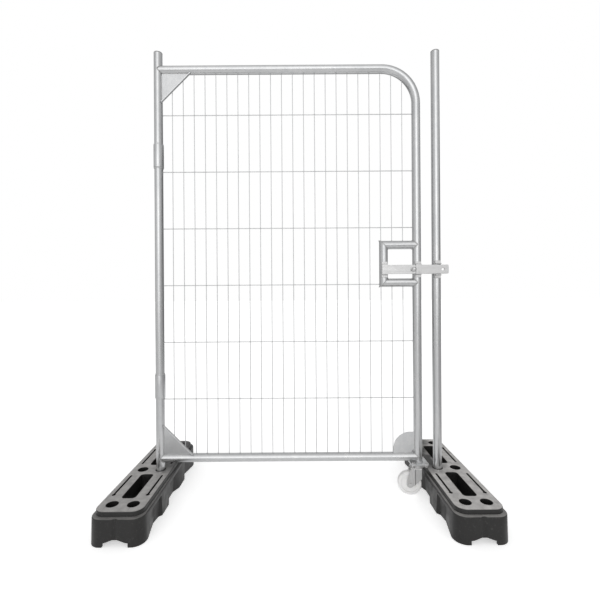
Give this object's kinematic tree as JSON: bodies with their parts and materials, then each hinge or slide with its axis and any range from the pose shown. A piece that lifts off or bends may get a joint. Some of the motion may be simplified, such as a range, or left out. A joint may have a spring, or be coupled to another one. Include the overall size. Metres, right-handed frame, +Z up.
{
  "type": "pedestrian gate",
  "caption": "Free-standing site-fence gate: a wire-mesh tube leaf turning in a moulded foot, with a sliding bolt, a castor and a latch post in a second foot.",
  "frame": {"origin": "on the ground, midway between the hinge stile and the latch post", "axes": "+X along the gate towards the latch post, +Y away from the bolt side, +Z up"},
  "size_m": [1.533, 0.698, 2],
  "materials": {
    "galvanised_tube": "galvanised",
    "galvanised_plate": "galvanised",
    "galvanised_wire": "galvanised",
    "zinc_plate": "zinc plated",
    "castor_steel": "zinc plated",
    "fastener_steel": "zinc plated",
    "cap_plastic": "satin",
    "knob_steel": "zinc plated",
    "nylon": "satin",
    "foot_plastic": "recycled, matt"
  },
  "bodies": {
    "base": {"left_foot": "foot_plastic", "right_foot": "foot_plastic", "latch_post": "galvanised_tube", "latch_post_cap": "cap_plastic", "latch_keeper": "zinc_plate"},
    "leaf": {"hinge_stile": "galvanised_tube", "hinge_stile_cap": "cap_plastic", "lock_frame_tube": "galvanised_tube", "bottom_rail": "galvanised_tube", "upright_wires": "galvanised_wire", "cross_wires": "galvanised_wire", "top_gusset": "galvanised_plate", "bottom_gusset": "galvanised_plate", "round_gusset": "galvanised_plate", "window_upright": "galvanised_tube", "window_upper_arm": "galvanised_tube", "window_lower_arm": "galvanised_tube", "window_bolt_guide": "zinc_plate", "stile_bolt_guide": "zinc_plate", "sleeve_stop_rings": "galvanised_tube", "castor_mount_plate": "galvanised_plate", "castor_top_plate": "castor_steel", "castor_bolts": "fastener_steel", "castor_nuts": "fastener_steel", "castor_kingpin": "castor_steel", "castor_kingpin_nut": "fastener_steel"},
    "upper_sleeve": {"upper_hinge_sleeve": "galvanised_tube"},
    "lower_sleeve": {"lower_hinge_sleeve": "galvanised_tube"},
    "latch_bolt": {"latch_bar": "zinc_plate", "latch_knob": "knob_steel"},
    "castor_swivel": {"castor_fork": "castor_steel", "castor_race_balls": "fastener_steel", "castor_axle_bolt": "fastener_steel", "castor_axle_nut": "fastener_steel", "castor_axle_bush": "fastener_steel"},
    "wheel": {"castor_wheel": "nylon"}
  },
  "joints": [
    {"name": "gate_swing", "type": "hinge", "parent": "base", "child": "leaf", "pos_m": [-0.625, 0, 1], "axis": [0, 0, -1], "range_deg": [0, 150]},
    {"name": "latch_slide", "type": "slide", "parent": "leaf", "child": "latch_bolt", "axis": [-1, 0, 0], "range_m": [0, 0.1]},
    {"name": "castor_turn", "type": "hinge", "parent": "leaf", "child": "castor_swivel", "pos_m": [0.537, 0, 0.135], "axis": [0, 0, 1], "range_deg": [-75, 90]},
    {"name": "wheel_spin", "type": "hinge", "parent": "castor_swivel", "child": "wheel", "pos_m": [0.49937, 0.00529, 0.052], "axis": [-0.1392, -0.9903, 0], "continuous": true},
    {"name": "upper_sleeve_turn", "type": "hinge", "parent": "leaf", "child": "upper_sleeve", "pos_m": [-0.625, 0, 1.532], "axis": [0, 0, 1], "continuous": true},
    {"name": "lower_sleeve_turn", "type": "hinge", "parent": "leaf", "child": "lower_sleeve", "pos_m": [-0.625, 0, 0.496], "axis": [0, 0, 1], "continuous": true}
  ]
}
